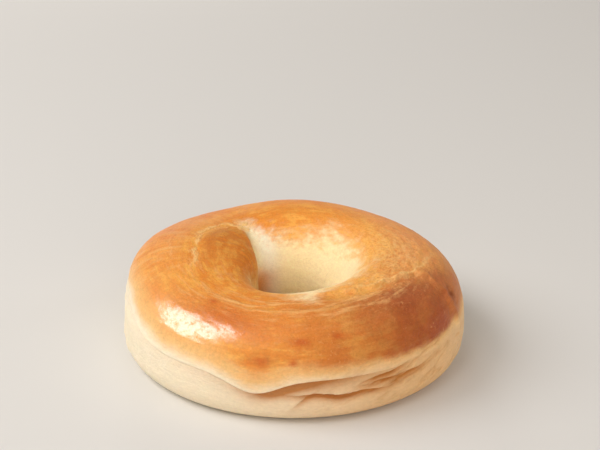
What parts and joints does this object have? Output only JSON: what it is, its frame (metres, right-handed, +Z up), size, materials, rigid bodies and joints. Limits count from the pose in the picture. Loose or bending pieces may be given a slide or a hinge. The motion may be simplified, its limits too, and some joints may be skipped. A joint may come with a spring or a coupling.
{
  "type": "bagel",
  "caption": "Ring-shaped baked bread roll with a domed glossy crust folded over a pale lower wall, a tucked inner lobe, and a central hole.",
  "frame": {"origin": "centre of the bounding box, on the flat underside", "axes": "+Z up out of the crust; +X towards the right of the pictured side, along the longest width; +Y towards its back"},
  "size_m": [0.11, 0.1052, 0.0329],
  "materials": {
    "crust": "golden-brown baked crust, softly glossy on top, pale and matt on the lower wall and inside the hole"
  },
  "bodies": {
    "root": {"bagel": "crust"}
  },
  "joints": []
}
